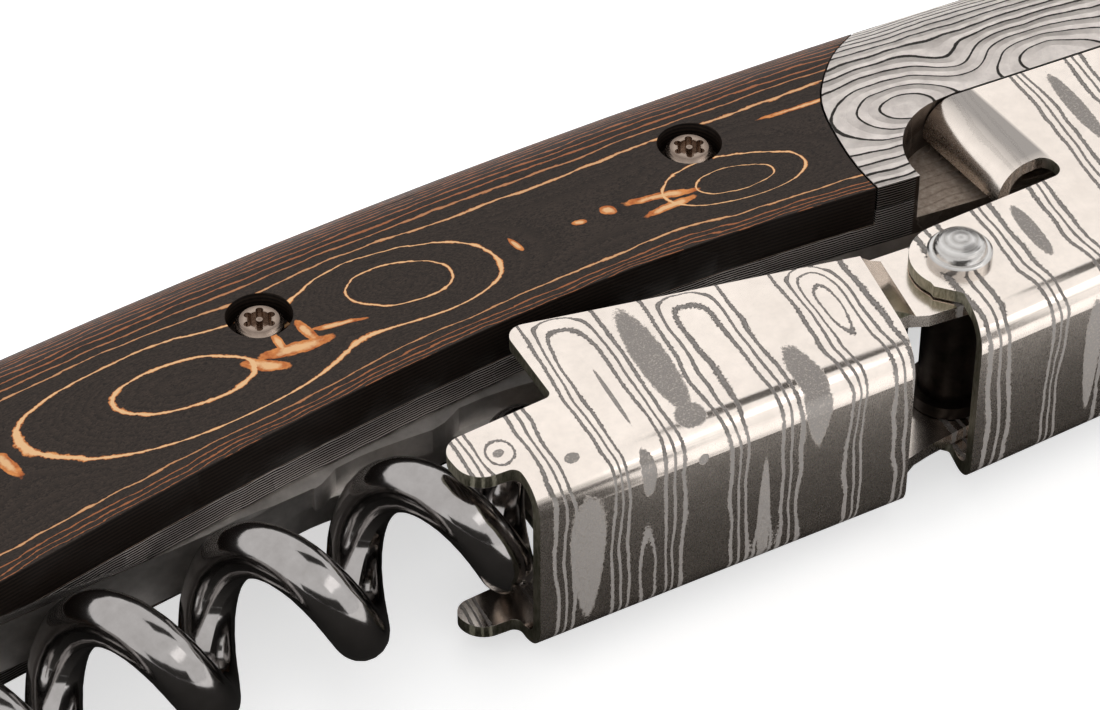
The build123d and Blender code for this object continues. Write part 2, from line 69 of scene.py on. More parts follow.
# Knots in a scale: along, in from the knife edge, half length, half width, lean, rise.
SCALE_KNOTS = [(-13.7, 8.1, 7.2, 3.5, 0.16, 1.9), (-0.7, 7.3, 4.1, 2.5, 0.20, 2.2),
               (18.2, 9.0, 3.1, 1.5, 0.10, 2.4), (-31.0, 8.1, 4.6, 2.6, 0.06, 1.9),
               (-46.0, 8.8, 5.5, 3.0, 0.05, 2.1)]
# Places where a whole leaf was ground flat: along, in from the knife edge, half length,
# half width, lean.
FLAT_LEAVES = [(-7.6, 8.85, 2.1, 0.40, 0.14), (-9.5, 9.2, 1.1, 0.48, 0.55),
               (-6.6, 8.05, 0.34, 1.0, 0.8), (-8.2, 8.1, 0.26, 0.85, -0.6),
               (-5.0, 8.45, 1.5, 0.17, 0.22), (14.2, 8.35, 1.9, 0.27, 0.20),
               (14.2, 9.3, 1.5, 0.30, -0.08), (5.74, 8.0, 0.2, 0.55, 0.9),
               (9.45, 8.05, 0.4, 0.2, 0.1), (11.2, 7.95, 0.42, 0.3, 0.1),
               (-23.6, 8.1, 0.45, 0.95, 0.8), (24.4, 5.6, 2.4, 0.16, 0.05)]

# Layers of the bolster by distance from the knife edge, and its knots.
BOLSTER_FROM_KNIFE = [(-1.5, 15.0), (0.0, 12.0), (0.7, 10.0), (1.5, 8.2), (2.5, 6.4), (3.6, 4.9),
                      (4.8, 3.7), (6.2, 2.9), (8.2, 2.55), (9.6, 2.7), (10.8, 3.6), (12.0, 4.9),
                      (13.5, 7.0), (18.0, 13.0)]
BOLSTER_KNOTS = [(29.3, 8.2, 3.3, 2.5, 0.05, 3.1), (38.9, 8.1, 4.2, 2.7, 0.12, 3.4),
                 (33.6, 5.6, 1.9, 1.6, 0.0, -1.3), (47.5, 9.5, 4.0, 3.6, 0.1, 2.4),
                 (53.0, 7.0, 3.0, 3.0, 0.0, 2.0)]
BOLSTER_RIDGE = 8.0         # distance from the knife edge where the layers lie flattest

# Where each band crosses the lever, along the tool, and how far it leans.
BAND_PLACES = [-8.2, -5.0, -1.75, 1.4, 4.5, 8.0, 11.15, 14.9, 17.7, 23.4, 26.9, 30.5, 34.1, 37.6,
               41.2, 44.8, 48.4, 52.0, 55.6]
BAND_LEAN = 0.14
# Places where a band swells into a closed loop: along, round the bend, half length, half width,
# rise.
BAND_SWELLS = [(-3.6, 8.1, 0.8, 0.8, 1.2), (16.3, 8.2, 0.75, 2.9, 1.0),
               (2.95, 20.5, 0.75, 4.0, 1.0), (9.6, 21.5, 0.5, 3.4, -0.9),
               (31.9, 17.0, 0.9, 4.0, 0.9), (39.3, 6.0, 0.9, 3.0, 0.9)]
# Grey patches where a whole layer was laid bare: along, round the bend, half length, half width,
# taper.
BARE_PATCHES = [(6.2, 6.6, 0.90, 4.0, 0.0), (6.15, 10.9, 0.85, 0.9, 0.0),
                (-0.45, 17.4, 0.95, 4.2, 0.38), (12.75, 11.9, 0.80, 2.6, 0.0),
                (12.65, 14.5, 0.75, 2.2, 0.45), (2.97, 13.3, 0.42, 1.7, 0.0),
                (9.62, 19.6, 0.36, 3.6, -0.35), (-0.45, 10.3, 0.42, 0.36, 0.0),
                (3.2, 7.7, 0.12, 2.2, 0.0), (-3.6, 8.1, 0.30, 0.26, 0.0),
                (28.45, 8.9, 0.46, 2.1, 0.0), (35.7, 2.2, 0.50, 3.0, 0.0),
                (29.3, 19.0, 0.50, 3.8, 0.3), (6.0, 14.1, 0.28, 0.35, 0.0),
                (43.0, 5.0, 0.55, 2.6, 0.0)]


# ---- small tools for building node trees -------------------------------------------

NUMBER = "NodeSocketFloat"
VECTOR = "NodeSocketVector"


class Tree:
    """Short calls for adding nodes to a tree and wiring them."""

    def __init__(self, tree):
        self.tree = tree

    def add(self, kind, **settings):
        node = self.tree.nodes.new(kind)
        for name, value in settings.items():
            setattr(node, name, value)
        return node

    def wire(self, source, socket):
        """Link a socket, or set a constant on the socket itself."""
        if isinstance(source, bpy.types.NodeSocket):
            self.tree.links.new(source, socket)
        else:
            socket.default_value = source

    def math(self, operation, *values):
        node = self.add("ShaderNodeMath", operation=operation)
        for socket, value in zip(node.inputs, values):
            self.wire(value, socket)
        return node.outputs[0]

    def plus(self, first, second):
        return self.math("ADD", first, second)

    def minus(self, first, second):
        return self.math("SUBTRACT", first, second)

    def times(self, first, second):
        return self.math("MULTIPLY", first, second)

    def largest(self, first, second):
        return self.math("MAXIMUM", first, second)

    def span(self, value, low, high, to_low=0.0, to_high=1.0):
        """Map a value from one range to another, clamped."""
        node = self.add("ShaderNodeMapRange")
        for name, source in zip(("Value", "From Min", "From Max", "To Min", "To Max"),
                                (value, low, high, to_low, to_high)):
            self.wire(source, node.inputs[name])
        return node.outputs["Result"]

    def swing(self, value, amount):
        """A value about one half, moved to swing about zero by an amount."""
        return self.times(self.minus(value, 0.5), amount)

    def away(self, x, y, from_x, from_y):
        """Distance of (x, y) from a fixed point."""
        dx = self.minus(x, from_x)
        dy = self.minus(y, from_y)
        return self.math("SQRT", self.plus(self.times(dx, dx), self.times(dy, dy)))

    def colour(self, mask, first, second):
        node = self.add("ShaderNodeMix", data_type="RGBA")
        self.wire(mask, node.inputs["Factor"])
        self.wire(first, node.inputs[6])
        self.wire(second, node.inputs[7])
        return node.outputs[2]

    def split(self, vector):
        node = self.add("ShaderNodeSeparateXYZ")
        self.wire(vector, node.inputs[0])
        return node.outputs

    def point(self, x, y, z=0.0):
        node = self.add("ShaderNodeCombineXYZ")
        for socket, value in zip(node.inputs, (x, y, z)):
            self.wire(value, socket)
        return node.outputs[0]

    def noise(self, where, scale, detail=2.0, rough=0.5):
        node = self.add("ShaderNodeTexNoise", noise_dimensions="3D")
        self.wire(where, node.inputs["Vector"])
        node.inputs["Scale"].default_value = scale
        node.inputs["Detail"].default_value = detail
        node.inputs["Roughness"].default_value = rough
        return node.outputs["Fac"]

    def curve(self, value, points):
        """Smooth curve through (input, output) points, with outputs of zero and up."""
        low = min(x for x, y in points)
        high = max(x for x, y in points)
        top = max(y for x, y in points)
        scaled = self.span(value, low, high)
        node = self.add("ShaderNodeFloatCurve")
        line = node.mapping.curves[0]
        spots = [((x - low) / (high - low), y / top) for x, y in sorted(points)]
        line.points[0].location = spots[0]
        line.points[1].location = spots[-1]
        for spot in spots[1:-1]:
            line.points.new(*spot)
        for knot in line.points:
            knot.handle_type = "AUTO_CLAMPED"
        node.mapping.update()
        self.wire(scaled, node.inputs["Value"])
        return self.times(node.outputs["Value"], top)

    def place(self, group, **inputs):
        """A copy of a shared group; an underscore in a name stands for a space."""
        node = self.add("ShaderNodeGroup")
        node.node_tree = group
        for name, value in inputs.items():
            self.wire(value, node.inputs[name.replace("_", " ")])
        return node.outputs

    def hill(self, along, across, middle, inside, length, width, **shape):
        """An oval hill, one high at its middle."""
        return self.place(KNOT, Along=along, Across=across, Middle_Along=middle,
                          Middle_Across=inside, Length=length, Width=width, **shape)["Hill"]


# ---- shared effects ------------------------------------------------------------------

def effect(name, inputs, outputs):
    """A new shader group with named sockets: the group, its tree, its inputs and its outputs."""
    group = bpy.data.node_groups.new(name, "ShaderNodeTree")
    for label, kind, value in inputs:
        socket = group.interface.new_socket(label, in_out="INPUT", socket_type=kind)
        if value is not None:
            socket.default_value = value
    for label, kind in outputs:
        group.interface.new_socket(label, in_out="OUTPUT", socket_type=kind)
    tree = Tree(group)
    into = tree.add("NodeGroupInput").outputs
    out = tree.add("NodeGroupOutput").inputs
    return group, tree, into, out


def make_place_group():
    """Where a point lies on the tool, in millimetres, and whether it is on a side wall."""
    group, t, _, out = effect("Place On Tool", [], [
        ("Along", NUMBER), ("Across", NUMBER), ("Up", NUMBER), ("Inside Edge", NUMBER),
        ("Above Worm Edge", NUMBER), ("Wall", NUMBER), ("End", NUMBER), ("Point", VECTOR)])
    coord = t.add("ShaderNodeTexCoord")
    scaled = t.add("ShaderNodeVectorMath", operation="SCALE")
    t.wire(coord.outputs["Object"], scaled.inputs[0])
    scaled.inputs["Scale"].default_value = 1000.0
    x, y, z = t.split(scaled.outputs[0])
    worm_edge = t.curve(x, [(ax, WORM_EDGE_LIFT + ay) for ax, ay in WORM_EDGE])
    facing = t.split(coord.outputs["Normal"])
    for label, value in (
            ("Along", x), ("Across", y), ("Up", t.minus(z, MIDDLE_Z)),
            ("Inside Edge", t.minus(t.away(x, y, KNIFE_ARC_X, KNIFE_ARC_Y), KNIFE_ARC_RADIUS)),
            ("Above Worm Edge", t.minus(t.plus(y, WORM_EDGE_LIFT), worm_edge)),
            ("Wall", t.span(t.math("ABSOLUTE", facing[2]), 0.35, 0.6, 1.0, 0.0)),
            ("End", t.span(t.math("ABSOLUTE", facing[0]), 0.7, 0.85)),
            ("Point", scaled.outputs[0])):
        t.wire(value, out[label])
    return group


def make_contour_group():
    """Thin lines where a level passes each whole number, with a narrower core."""
    group, t, into, out = effect("Contour Lines", [
        ("Level", NUMBER, 0.0), ("Half Width", NUMBER, 0.1)], [("Line", NUMBER), ("Core", NUMBER)])
    away = t.math("PINGPONG", into["Level"], 0.5)
    half = into["Half Width"]
    t.wire(t.span(away, half, t.times(half, 1.35), 1.0, 0.0), out["Line"])
    t.wire(t.span(away, t.times(half, 0.6), half, 1.0, 0.0), out["Core"])
    return group


def make_knot_group():
    """A soft oval hill, which may lean and may narrow to one side."""
    group, t, into, out = effect("Oval Hill", [
        ("Along", NUMBER, 0.0), ("Across", NUMBER, 0.0), ("Middle Along", NUMBER, 0.0),
        ("Middle Across", NUMBER, 0.0), ("Length", NUMBER, 1.0), ("Width", NUMBER, 1.0),
        ("Lean", NUMBER, 0.0), ("Taper", NUMBER, 0.0)],
        [("Hill", NUMBER)])
    dx = t.minus(into["Along"], into["Middle Along"])
    dy = t.minus(into["Across"], into["Middle Across"])
    v = t.math("DIVIDE", t.minus(dy, t.times(dx, into["Lean"])), into["Width"])
    narrowed = t.largest(t.minus(1.0, t.times(v, into["Taper"])), 0.1)
    u = t.math("DIVIDE", dx, t.times(into["Length"], narrowed))
    total = t.plus(t.times(u, u), t.times(v, v))
    t.wire(t.math("EXPONENT", t.times(total, -1.0)), out["Hill"])
    return group


def make_wear_group():
    """Fine rubbing marks, drawn out along the tool, and soft mottling."""
    group, t, into, out = effect("Fine Wear", [
        ("Point", VECTOR, None), ("Stretch", NUMBER, 6.0)],
        [("Marks", NUMBER), ("Mottle", NUMBER)])
    x, y, z = t.split(into["Point"])
    drawn = t.point(t.math("DIVIDE", x, into["Stretch"]), y, z)
    t.wire(t.noise(drawn, 9.0, 4.0, 0.65), out["Marks"])
    t.wire(t.noise(into["Point"], 1.1, 4.0, 0.6), out["Mottle"])
    return group


PLACE = make_place_group()
CONTOUR = make_contour_group()
KNOT = make_knot_group()
WEAR = make_wear_group()


def material(name):
    """A new material: the material, its tree and its surface shader."""
    made = bpy.data.materials.new(name)
    made.use_nodes = True
    return made, Tree(made.node_tree), made.node_tree.nodes["Principled BSDF"]


def relief(t, shader, height, depth):
    """Height in, bumped normal out to the shader.  Depth is in metres."""
    bump = t.add("ShaderNodeBump")
    bump.inputs["Strength"].default_value = 1.0
    bump.inputs["Distance"].default_value = depth
    t.wire(height, bump.inputs["Height"])
    t.wire(bump.outputs[0], shader.inputs["Normal"])


# ---- scale: dark layered composite with copper leaf ----------------------------------

def copper_layers():
    made, t, shader = material("Copper Leaf Composite")
    spot = t.place(PLACE)
    x = spot["Along"]
    point = spot["Point"]
    drawn = t.point(t.times(x, 0.3), spot["Across"], spot["Up"])
    wander = t.plus(t.swing(t.noise(drawn, 0.45, 2.0), 0.9), t.swing(t.noise(drawn, 2.0, 3.0, 0.6), 0.3))
    depth = t.minus(wander, spot["Inside Edge"])
    above = t.plus(spot["Above Worm Edge"], wander)

    # the level counts layers, and a leaf of copper shows at each whole number
    level = t.plus(t.curve(depth, SCALE_FROM_KNIFE), t.curve(above, SCALE_FROM_WORM))
    for middle, inside, length, width, lean, rise in SCALE_KNOTS:
        hill = t.hill(x, depth, middle, inside, length, width, Lean=lean)
        level = t.minus(level, t.times(hill, rise))
    steep = t.largest(t.span(depth, 5.0, 2.8), t.span(above, 1.6, 0.8))
    ragged = t.noise(point, 1.4, 3.0, 0.7)
    half_width = t.times(t.span(steep, 0.0, 1.0, 0.034, 0.085), t.span(ragged, 0.3, 0.75, 0.4, 1.6))
    lines = t.place(CONTOUR, Level=level, Half_Width=half_width)
    leaf = lines["Line"]
    # painted highlight: the narrow core of each copper line and the middle of each flat leaf are
    # coloured pale cream
    copper_painted_highlight = lines["Core"]
    ragged_edge = t.swing(t.noise(point, 1.3, 3.0, 0.6), 1.0)
    for middle, inside, length, width, lean in FLAT_LEAVES:
        hill = t.hill(x, depth, middle, inside, length, width, Lean=lean)
        leaf = t.largest(leaf, t.span(t.plus(hill, t.times(ragged_edge, 0.55)), 0.34, 0.42))
        leaf_middle_painted_highlight = t.span(t.plus(hill, ragged_edge), 0.62, 0.85)
        copper_painted_highlight = t.largest(copper_painted_highlight, t.times(leaf_middle_painted_highlight, 0.9))

    # the dark composite, and its sheets edge-on along the side walls
    grain = t.noise(t.point(t.times(x, 0.5), depth, spot["Up"]), 11.0, 4.0, 0.75)
    fibre = t.math("PINGPONG", t.plus(t.times(level, 9.0), t.times(grain, 2.2)), 0.5)
    ash = t.plus(t.times(fibre, 0.22), t.times(grain, 1.0))
    face = t.colour(t.span(ash, 0.32, 0.82), (0.0070, 0.0049, 0.0040, 1), (0.066, 0.047, 0.037, 1))
    sheets = t.math("PINGPONG", t.plus(t.times(spot["Up"], 4.2), t.times(grain, 0.5)), 0.5)
    edge_on = t.colour(t.span(sheets, 0.05, 0.45), (0.0035, 0.0025, 0.002, 1), (0.022, 0.0145, 0.011, 1))
    body = t.colour(spot["Wall"], face, edge_on)

    # copper: orange with a pale core painted on as a highlight, and dull where the layers run steeply
    orange = t.colour(t.span(ragged, 0.35, 0.65), (0.50, 0.125, 0.030, 1), (0.86, 0.33, 0.10, 1))
    copper_with_painted_highlight = t.colour(copper_painted_highlight, orange, (1.0, 0.62, 0.32, 1))
    copper = t.colour(steep, copper_with_painted_highlight, (0.42, 0.150, 0.062, 1))
    showing = t.times(leaf, t.span(spot["Wall"], 0.0, 1.0, 1.0, 0.0))
    t.wire(t.colour(showing, body, copper), shader.inputs["Base Color"])
    t.wire(t.span(grain, 0.3, 0.7, 0.36, 0.5), shader.inputs["Roughness"])
    shader.inputs["Specular IOR Level"].default_value = 0.16
    relief(t, shader, t.plus(t.times(grain, 0.6), t.times(leaf, 0.5)), 0.000012)
    return made


# ---- bolster and frame plates: etched patterned steel ---------------------------------

def patterned_steel():
    made, t, shader = material("Etched Patterned Steel")
    spot = t.place(PLACE)
    x = spot["Along"]
    point = spot["Point"]
    depth = t.plus(t.times(spot["Inside Edge"], -1.0), t.swing(t.noise(point, 0.22, 2.0), 1.1))

    level = t.curve(depth, BOLSTER_FROM_KNIFE)
    for middle, inside, length, width, lean, rise in BOLSTER_KNOTS:
        hill = t.hill(x, depth, middle, inside, length, width, Lean=lean)
        level = t.minus(level, t.times(hill, rise))
    steep = t.span(t.math("ABSOLUTE", t.minus(depth, BOLSTER_RIDGE)), 1.5, 6.5)
    ragged = t.noise(point, 2.4, 3.0, 0.65)
    half_width = t.times(t.span(steep, 0.0, 1.0, 0.045, 0.12), t.span(ragged, 0.3, 0.7, 0.75, 1.3))
    line = t.place(CONTOUR, Level=level, Half_Width=half_width)["Line"]
    wear = t.place(WEAR, Point=point, Stretch=3.0)
    ground = t.colour(t.span(wear["Mottle"], 0.3, 0.7), (0.68, 0.615, 0.575, 1), (0.92, 0.845, 0.79, 1))
    face = t.colour(line, ground, (0.052, 0.047, 0.043, 1))

    # edges show the forged stack as fine stripes
    stack = t.plus(t.times(spot["Up"], 6.3), t.swing(t.noise(point, 0.5, 2.0), 1.6))
    stripe = t.place(CONTOUR, Level=stack, Half_Width=0.13)["Line"]
    wall = t.colour(stripe, (0.035, 0.031, 0.029, 1), (0.62, 0.58, 0.55, 1))

    # the pocket's floor is milled, and its wall browned
    sunk = t.span(t.math("ABSOLUTE", spot["Up"]), SUNK_BELOW + 0.1, SUNK_BELOW - 0.1)
    milled = t.colour(t.span(t.noise(point, 3.0, 4.0, 0.7), 0.3, 0.7),
                      (0.30, 0.235, 0.19, 1), (0.52, 0.44, 0.37, 1))
    from_pocket = t.away(x, spot["Across"], POCKET_X, POCKET_Y)
    in_pocket = t.span(from_pocket, POCKET_WALL + 0.05, POCKET_WALL - 0.05)
    browned = t.colour(t.noise(point, 2.0, 3.0, 0.6), (0.05, 0.038, 0.03, 1), (0.17, 0.135, 0.11, 1))
    wall = t.colour(in_pocket, wall, browned)
    t.wire(t.colour(spot["Wall"], t.colour(sunk, face, milled), wall), shader.inputs["Base Color"])
    shader.inputs["Metallic"].default_value = 1.0

    grain = t.span(wear["Marks"], 0.3, 0.7, 0.30, 0.42)
    duller = t.plus(t.times(line, 0.2), t.times(sunk, 0.25))
    t.wire(t.plus(grain, duller), shader.inputs["Roughness"])
    terrace = t.times(t.math("PINGPONG", level, 0.5), t.span(sunk, 0.0, 1.0, 1.0, 0.0))
    height = t.minus(terrace, t.times(line, 0.6))
    relief(t, shader, t.plus(height, t.times(t.noise(point, 16.0, 3.0), 0.22)), 0.00013)
    return made


# ---- lever: polished sheet with etched bands --------------------------------------------

def band_level(t, spot, upright, around, grain):
    """Height of the etched layers over the lever, and how flat it runs."""
    x = spot["Along"]
    flat = t.point(t.times(x, 0.30), t.times(around, 0.16), 0.0)
    moved = t.plus(upright, t.swing(t.noise(flat, 1.0, 2.0), 1.1))
    phase = t.curve(moved, [(place, 1.0 + n) for n, place in enumerate(BAND_PLACES)])
    wave = t.math("SINE", t.times(phase, math.pi))
    plateau = t.math("TANH", t.times(wave, 1.7))
    tall = t.point(t.times(phase, 0.9), t.times(around, 0.13), 3.7)
    swell = t.span(t.noise(tall, 1.0, 2.0, 0.55), 0.3, 0.7, 1.35, 1.85)
    level = t.plus(t.times(plateau, swell), t.times(grain, 0.34))
    for middle, round_bend, length, width, rise in BAND_SWELLS:
        hill = t.hill(upright, around, middle, round_bend, length, width)
        level = t.plus(level, t.times(hill, rise))
    # raised bands of the outer arm close into loops near the sheet's upper edge
    edge_y = t.plus(t.times(x, SHEET_EDGE_SLOPE), SHEET_EDGE_Y)
    in_from_edge = t.largest(t.minus(edge_y, spot["Across"]), 0.0)
    closing = t.times(t.math("EXPONENT", t.times(in_from_edge, -1.3)), 1.7)
    on_outer_arm = t.span(x, OUTER_ARM_END + 0.2, OUTER_ARM_END - 0.2)
    closing = t.times(closing, t.times(t.span(level, -0.6, 1.0), on_outer_arm))
    return t.minus(level, closing), plateau


def bare_layer(t, upright, around, grain, speckle):
    """Patches where a whole layer was laid bare."""
    bare = 0.0
    for middle, round_bend, length, width, taper in BARE_PATCHES:
        bare = t.largest(t.hill(upright, around, middle, round_bend, length, width, Taper=taper), bare)
    bare = t.span(t.plus(bare, t.times(grain, 0.35)), 0.36, 0.42)
    return t.times(bare, t.span(speckle, 0.36, 0.52, 0.45, 1.0))


def lever_bands():
    made, t, shader = material("Polished Banded Steel")
    spot = t.place(PLACE)
    x = spot["Along"]
    point = spot["Point"]
    wall = spot["Wall"]
    # distance round the bend: down the side wall, then over the web
    around = t.times(t.plus(spot["Across"], spot["Up"]), -1.0)
    above_bend = t.largest(t.minus(spot["Across"], BEND_Y), 0.0)
    upright = t.minus(x, t.times(above_bend, BAND_LEAN))
    grain = t.minus(t.noise(point, 7.0, 3.0, 0.7), 0.5)
    speckle = t.noise(point, 9.0, 3.0, 0.75)
    wear = t.place(WEAR, Point=point, Stretch=0.5)

    level, plateau = band_level(t, spot, upright, around, grain)
    steepness = t.minus(1.0, t.times(plateau, plateau))
    bands = t.place(CONTOUR, Level=level, Half_Width=t.span(steepness, 0.0, 1.0, 0.055, 0.15))
    bare = bare_layer(t, upright, around, grain, speckle)
    lines = t.times(bands["Line"], t.span(speckle, 0.34, 0.42, 0.75, 1.0))

    # the rolled lip is hardly etched, and the sheet's own edge is left as cut
    by_lip = t.times(t.span(x, *LIP_RIGHT), t.span(x, *LIP_LEFT))
    on_lip = t.times(by_lip, t.span(spot["Across"], *LIP_FROM))
    etched = t.times(t.largest(lines, bare), t.span(on_lip, 0.0, 1.0, 1.0, 0.15))
    sheet_edge = t.times(wall, t.span(t.math("ABSOLUTE", spot["Up"]), *SHEET_INSIDE))
    cut = t.times(t.largest(sheet_edge, spot["End"]), t.span(on_lip, 0.0, 1.0, 1.0, 0.0))

    cloud = t.plus(t.times(wear["Mottle"], 0.5), t.times(t.noise(point, 0.16, 2.0), 0.5))
    polished = t.colour(t.span(cloud, 0.35, 0.65), (0.86, 0.77, 0.695, 1), (0.99, 0.89, 0.805, 1))
    # painted reflection: a darker tone across part of the rolled lip stands in for the dark surroundings
    # its curve would mirror
    lip_painted_reflection = t.times(by_lip, t.span(spot["Across"], *LIP_PAINTED_REFLECTION_FROM))
    polished = t.colour(t.times(lip_painted_reflection, t.span(x, *LIP_PAINTED_REFLECTION_ALONG)), polished, (0.36, 0.33, 0.305, 1))
    # painted shade: the outline of each etched line is painted near black on the flats, as the shade in
    # its recess; on the side walls and web it is pale, and the bare-layer tone there is paler too
    etch_outline_painted_shade = t.colour(wall, (0.085, 0.073, 0.065, 1), (0.50, 0.465, 0.44, 1))
    laid_bare = t.colour(t.span(speckle, 0.32, 0.68), (0.13, 0.115, 0.105, 1), (0.42, 0.385, 0.36, 1))
    laid_bare = t.colour(t.times(wall, 0.45), laid_bare, (0.75, 0.70, 0.66, 1))
    etch_tone_and_painted_shade = t.colour(t.largest(bands["Core"], bare), etch_outline_painted_shade, laid_bare)
    saw = t.noise(t.point(x, spot["Across"], t.times(spot["Up"], 0.3)), 6.0, 3.0, 0.7)
    raw_edge = t.colour(t.span(saw, 0.3, 0.7), (0.11, 0.11, 0.065, 1), (0.36, 0.33, 0.26, 1))
    t.wire(t.colour(cut, t.colour(etched, polished, etch_tone_and_painted_shade), raw_edge), shader.inputs["Base Color"])
    t.wire(t.span(etched, 0.0, 1.0, 1.0, 0.3), shader.inputs["Metallic"])

    polish = t.span(wear["Marks"], 0.25, 0.8, 0.14, 0.25)
    duller = t.plus(t.times(etched, 0.42), t.times(cut, 0.25))
    t.wire(t.plus(polish, t.plus(duller, t.times(wall, 0.08))), shader.inputs["Roughness"])
    height = t.minus(t.times(speckle, t.times(etched, 0.35)), etched)
    waviness = t.times(t.noise(point, 0.35, 1.0), 0.9)
    relief(t, shader, t.plus(height, waviness), 0.000016)
    return made


# ---- plain steels and bronze -------------------------------------------------------------

def worked_metal(name, low, high, rough_low, rough_high, stretch, depth):
    """Metal with drawn marks and faint mottling, between two tones and two roughnesses."""
    made, t, shader = material(name)
    wear = t.place(WEAR, Point=t.place(PLACE)["Point"], Stretch=stretch)
    t.wire(t.colour(t.span(wear["Mottle"], 0.3, 0.7), low, high), shader.inputs["Base Color"])
    t.wire(t.span(wear["Marks"], 0.25, 0.75, rough_low, rough_high), shader.inputs["Roughness"])
    shader.inputs["Metallic"].default_value = 1.0
    relief(t, shader, wear["Marks"], depth)
    return made


def turned_steel(name, axes, low, high, rough, ring_spacing, depth):
    """Steel with turned rings about the nearest of several upright axes."""
    made, t, shader = material(name)
    spot = t.place(PLACE)
    wear = t.place(WEAR, Point=spot["Point"], Stretch=1.0)
    nearest = 1000.0
    for ax, ay in axes:
        nearest = t.math("MINIMUM", t.away(spot["Along"], spot["Across"], ax, ay), nearest)
    rings = t.math("PINGPONG", t.math("DIVIDE", nearest, ring_spacing), 0.5)
    fine = t.math("PINGPONG", t.math("DIVIDE", nearest, ring_spacing * 0.23), 0.5)
    tone = t.plus(t.times(rings, 0.9), t.times(wear["Mottle"], 0.6))
    t.wire(t.colour(t.span(tone, 0.2, 0.75), low, high), shader.inputs["Base Color"])
    t.wire(t.span(wear["Marks"], 0.3, 0.7, rough, rough + 0.12), shader.inputs["Roughness"])
    shader.inputs["Metallic"].default_value = 1.0
    relief(t, shader, t.plus(rings, t.times(fine, 0.5)), depth)
    return made


# ---- put the finishes on the pieces --------------------------------------------------------

def finish_piece(node, made):
    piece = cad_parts[node]
    piece.data.materials.clear()
    piece.data.materials.append(made)


def soften_edges(node, width):
    """Broken edges that catch the light.  The flats are made whole first, so that no bevel
    runs along a seam of the mesh."""
    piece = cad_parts[node]
    weld = piece.modifiers.new("Weld", "WELD")
    weld.merge_threshold = 0.000002
    flats = piece.modifiers.new("Whole_Flats", "DECIMATE")
    flats.decimate_type = "DISSOLVE"
    flats.angle_limit = math.radians(0.3)
    bevel = piece.modifiers.new("Broken_Edges", "BEVEL")
    bevel.width = width
    bevel.segments = 2
    bevel.limit_method = "ANGLE"
    bevel.angle_limit = math.radians(50)
    bevel.harden_normals = True


for made, nodes in (
        (copper_layers(), ("near_scale", "far_scale")),
        (patterned_steel(), ("near_frame_plate", "far_frame_plate")),
        (lever_bands(), ("lever_inner_arm", "lever_outer_arm")),
        (worked_metal("Polished Gunmetal", (0.36, 0.34, 0.33, 1), (0.43, 0.41, 0.40, 1),
                      0.09, 0.16, 1.0, 0.0000012), ("worm", "worm_yoke")),
        (worked_metal("Brushed Spring Steel", (0.62, 0.59, 0.56, 1), (0.85, 0.81, 0.78, 1),
                      0.34, 0.52, 0.25, 0.00001), ("back_spring",)),
        (worked_metal("Ground Blade Steel", (0.55, 0.55, 0.55, 1), (0.66, 0.66, 0.66, 1),
                      0.22, 0.38, 0.2, 0.000006), ("foil_blade",)),
        # painted shade: the bush sits deep in the gap between the lever's arms, and is coloured near
        # black for the shade that falls there
        (worked_metal("Bush Steel Painted Dark For Shade", (0.020, 0.016, 0.013, 1), (0.05, 0.04, 0.034, 1),
                      0.35, 0.55, 1.0, 0.000008), ("mid_rivet_bush",)),
        (worked_metal("Rubbed Bronze", (0.50, 0.30, 0.13, 1), (0.62, 0.40, 0.19, 1),
                      0.25, 0.4, 1.0, 0.000006), ("near_blade_washer", "far_blade_washer")),
        (turned_steel("Turned Pin Steel", PIN_AXES, (0.44, 0.42, 0.40, 1), (0.74, 0.72, 0.70, 1),
                      0.16, 0.42, 0.000014),
         ("lever_mid_rivet", "lever_pivot_pin", "worm_hinge_pin", "blade_pivot_pin", "frame_pins")),
        (turned_steel("Turned Screw Steel", SCREW_AXES, (0.17, 0.125, 0.10, 1),
                      (0.42, 0.33, 0.27, 1), 0.2, 0.5, 0.00001),
         ("near_scale_screws", "far_scale_screws"))):
    for node in nodes:
        finish_piece(node, made)

for width, nodes in ((0.00008, ("lever_inner_arm", "lever_outer_arm")),
                     (0.00012, ("near_scale", "far_scale")),
                     (0.00006, ("near_frame_plate", "far_frame_plate"))):
    for node in nodes:
        soften_edges(node, width)


# ---- camera, floor and light ------------------------------------------------------------------

def camera_at(target, turn, rise, distance, lens):
    """Camera looking at target, turned about Z from looking along +Y, and raised."""
    turn = math.radians(turn)
    rise = math.radians(rise)
    back = Vector((math.sin(turn) * math.cos(rise), -math.cos(turn) * math.cos(rise), math.sin(rise)))
    right = Vector((math.cos(turn), math.sin(turn), 0.0))
    data = bpy.data.cameras.new("Camera")
    data.lens = lens
    data.sensor_width = 36.0
    data.clip_start = 0.01
    camera = bpy.data.objects.new("Camera", data)
    pose = Matrix((right, back.cross(right), back)).transposed().to_4x4()
    pose.translation = target + back * distance
    camera.matrix_world = pose
    bpy.context.scene.collection.objects.link(camera)
    bpy.context.scene.camera = camera


def seen_white(t, strength):
    """A strength that camera, transmission and glossy rays see, and diffuse rays do not."""
    path = t.add("ShaderNodeLightPath")
    seen = t.largest(path.outputs["Is Camera Ray"], path.outputs["Is Transmission Ray"])
    return t.times(t.largest(seen, path.outputs["Is Glossy Ray"]), strength)


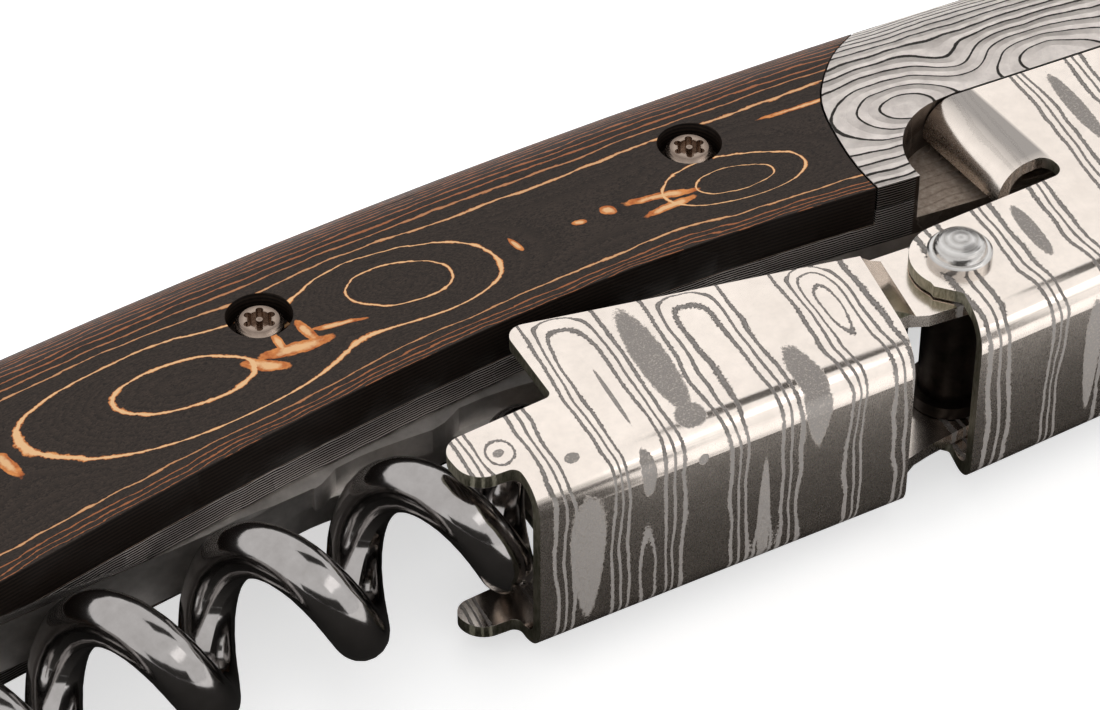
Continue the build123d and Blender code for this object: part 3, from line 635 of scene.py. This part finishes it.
def sheet_of(name, size, middle, made, turned=(0, 0, 0)):
    """A flat sheet of the studio, turned by degrees about its middle."""
    half_x = size[0] / 2
    half_y = size[1] / 2
    mesh = bpy.data.meshes.new(name)
    mesh.from_pydata([(-half_x, -half_y, 0), (half_x, -half_y, 0), (half_x, half_y, 0),
                      (-half_x, half_y, 0)], [], [(0, 1, 2, 3)])
    piece = bpy.data.objects.new(name, mesh)
    piece.location = middle
    piece.rotation_euler = [math.radians(angle) for angle in turned]
    piece.data.materials.append(made)
    bpy.context.scene.collection.objects.link(piece)
    return piece


def pale_floor():
    made, t, shader = material("Pale Floor")
    shader.inputs["Base Color"].default_value = (0.86, 0.86, 0.86, 1)
    shader.inputs["Roughness"].default_value = 0.9
    shader.inputs["Specular IOR Level"].default_value = 0.1
    shader.inputs["Emission Color"].default_value = (1, 1, 1, 1)
    t.wire(seen_white(t, 0.6), shader.inputs["Emission Strength"])
    sheet_of("Floor", (6.0, 6.0), (0, 0, -0.00132), made)


def dark_flags():
    """Dark sheets that only mirror reflections see: they give polished steel its dark side."""
    made, t, shader = material("Black Flag")
    shader.inputs["Base Color"].default_value = (0.068, 0.065, 0.062, 1)
    shader.inputs["Roughness"].default_value = 1.0
    shader.inputs["Specular IOR Level"].default_value = 0.0
    just_above_floor = -0.00128
    for name, size, middle, turned in (
            ("Low_Flag", (0.5, 0.052), (0.0, -0.006, just_above_floor), (0, 0, 0)),
            ("Left_Flag", (0.30, 0.373), (-0.145, -0.2185, just_above_floor), (0, 0, 0)),
            ("Front_Flag", (0.66, 0.15), (-0.24, -0.42, 0.075), (90, 0, -14)),
            ("Top_Flag", (0.40, 0.13), (0.30, -0.01, 0.36), (0, 0, 0)),
            ("Rear_Flag", (1.0, 0.20), (0.22, 0.42, 0.10), (90, 0, -28))):
        flag = sheet_of(name, size, middle, made, turned)
        for ray in ("camera", "diffuse", "transmission", "shadow", "volume_scatter"):
            setattr(flag, "visible_" + ray, False)


def white_world():
    world = bpy.data.worlds.new("Studio")
    world.use_nodes = True
    bpy.context.scene.world = world
    t = Tree(world.node_tree)
    ground = world.node_tree.nodes["Background"]
    ground.inputs["Color"].default_value = (1, 1, 1, 1)
    t.wire(t.plus(seen_white(t, 0.45), 0.55), ground.inputs["Strength"])


def softboxes():
    """Lamps aimed at the tool.  Lamps add to the world in a reflection, so only the strip shows."""
    for name, size, middle, watts, tone, in_mirrors in (
            ("Overhead_Softbox", (0.62, 0.46), (0.16, 0.29, 0.36), 0.80, (1.0, 0.975, 0.95), False),
            ("Front_Strip", (0.44, 0.11), (0.20, -0.33, 0.30), 0.13, (1.0, 0.99, 0.98), True),
            ("Side_Softbox", (0.16, 0.40), (-0.42, 0.05, 0.22), 0.15, (1.0, 0.98, 0.96), False)):
        lamp = bpy.data.lights.new(name, "AREA")
        lamp.shape = "RECTANGLE"
        lamp.size, lamp.size_y = size
        lamp.energy = watts
        lamp.color = tone
        held = bpy.data.objects.new(name, lamp)
        held.location = middle
        held.rotation_euler = (-Vector(middle)).to_track_quat("-Z", "Y").to_euler()
        held.visible_glossy = in_mirrors
        bpy.context.scene.collection.objects.link(held)


camera_at(Vector((0.006, -0.004, 0.0056)), turn=-32.68, rise=42.60, distance=0.212, lens=133.9)
pale_floor()
dark_flags()
white_world()
softboxes()
bpy.context.scene.view_settings.view_transform = "Standard"
